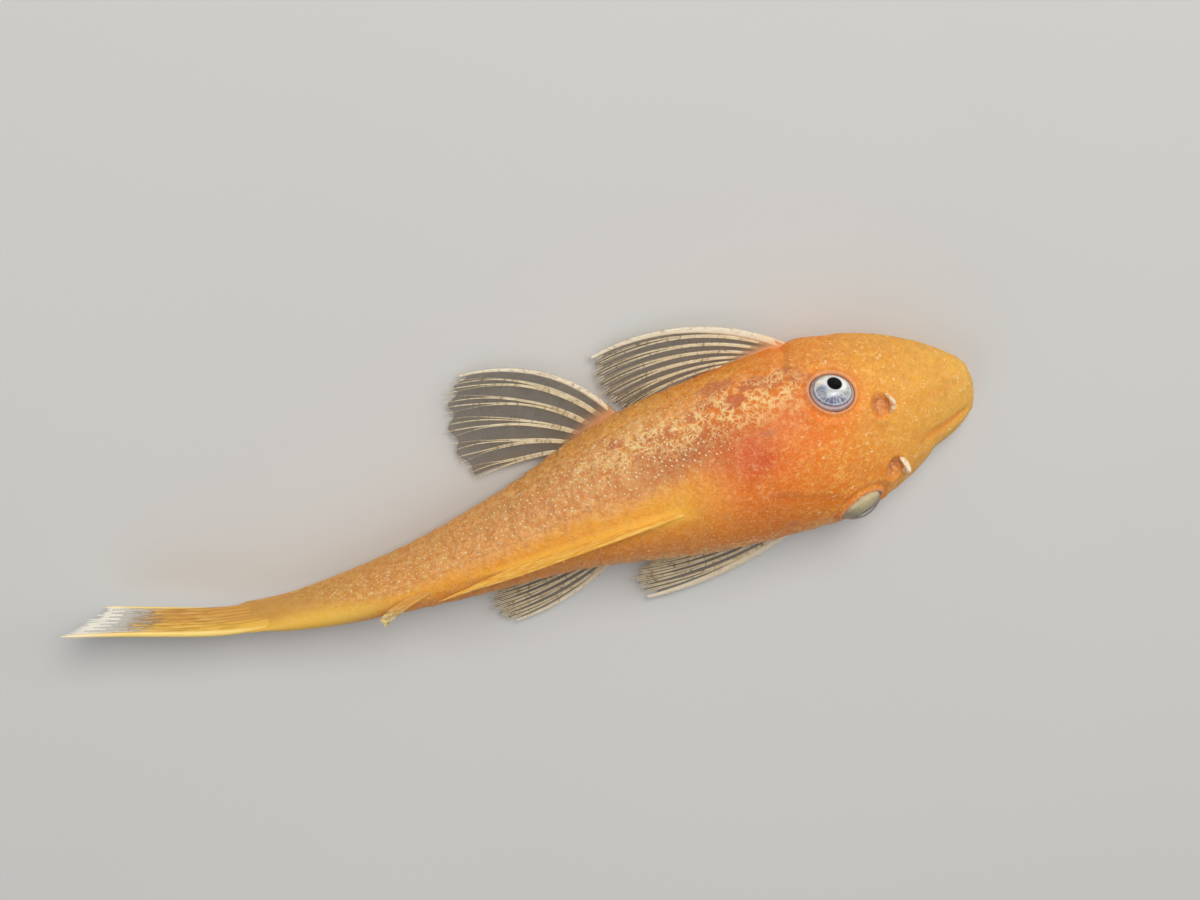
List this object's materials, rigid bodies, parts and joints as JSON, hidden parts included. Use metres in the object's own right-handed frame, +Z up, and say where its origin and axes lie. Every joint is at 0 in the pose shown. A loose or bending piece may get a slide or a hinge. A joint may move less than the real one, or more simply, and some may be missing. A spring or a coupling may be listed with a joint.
{
  "type": "bristlenose pleco",
  "caption": "Golden bristlenose pleco, a small sucker-mouthed armoured catfish, clinging belly down with its paired fins spread and its dorsal fin folded.",
  "frame": {"origin": "middle of the whole fish's bounding box, on the floor that the belly lies on", "axes": "+X toward the head, +Y toward the fish's left, +Z up off the back"},
  "size_m": [0.06, 0.0192, 0.0084],
  "materials": {
    "skin": "moist satin skin, warm orange with cream specks, yellow-olive at the snout and a pink blush behind the head",
    "fin": "clear membrane on cream to olive-yellow rays with fine brown flecks",
    "eye": "wet gloss, silver-white iris with a violet-blue lower half and a black pupil",
    "lip": "soft pale pink, covered with small papillae",
    "barbel": "soft pale skin"
  },
  "bodies": {
    "root": {"head": "skin", "torso": "skin", "tail": "skin", "eye_left": "eye", "eye_right": "eye", "upper_lip": "lip", "lower_lip": "lip", "barbel_left": "barbel", "barbel_right": "barbel", "pectoral_fin_left": "fin", "pectoral_fin_right": "fin", "pelvic_fin_left": "fin", "pelvic_fin_right": "fin", "dorsal_fin": "fin", "adipose_fin": "fin", "anal_fin": "fin", "caudal_fin": "fin"}
  },
  "joints": []
}
